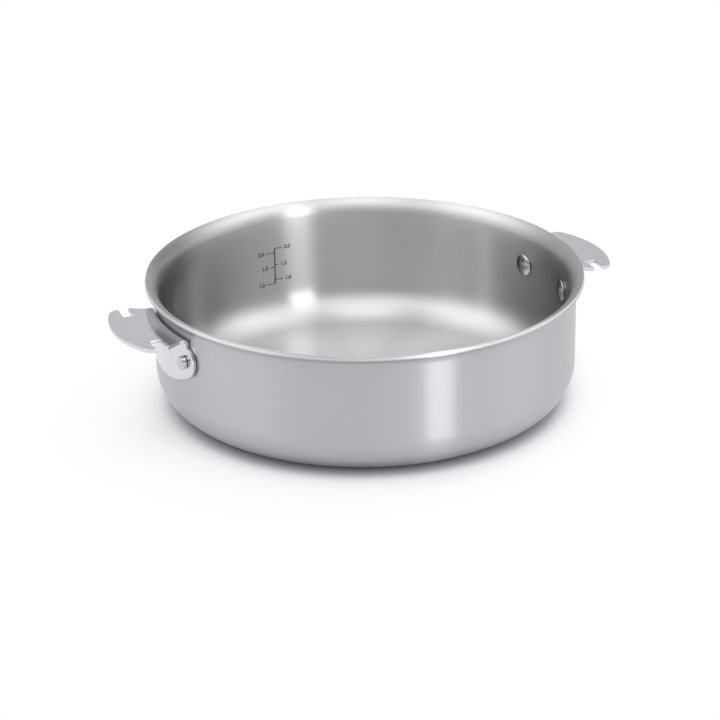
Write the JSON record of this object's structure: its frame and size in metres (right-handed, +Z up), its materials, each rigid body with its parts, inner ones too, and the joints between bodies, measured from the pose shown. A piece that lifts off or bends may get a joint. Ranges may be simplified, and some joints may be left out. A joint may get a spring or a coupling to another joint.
{
  "type": "saute pan",
  "caption": "Straight-walled clad steel saute pan with a flared rim and opposite riveted lugs, each a flat hooked wing for a clip-on handle.",
  "frame": {"origin": "on the bowl's axis, on the surface the base stands on", "axes": "+Z up along the bowl's axis; +X through the middle of the right lug; -Y is the front"},
  "size_m": [0.308, 0.2546, 0.0762],
  "materials": {
    "inner_steel": "circular brushed satin",
    "core_aluminium": "polished cut edge",
    "outer_steel": "fine brushed satin",
    "lug_steel": "polished",
    "rivet_steel": "polished"
  },
  "bodies": {
    "root": {"inner_layer": "inner_steel", "core_layer": "core_aluminium", "outer_layer": "outer_steel", "left_lug": "lug_steel", "right_lug": "lug_steel", "left_front_rivet": "rivet_steel", "left_back_rivet": "rivet_steel", "right_front_rivet": "rivet_steel", "right_back_rivet": "rivet_steel"}
  },
  "joints": []
}
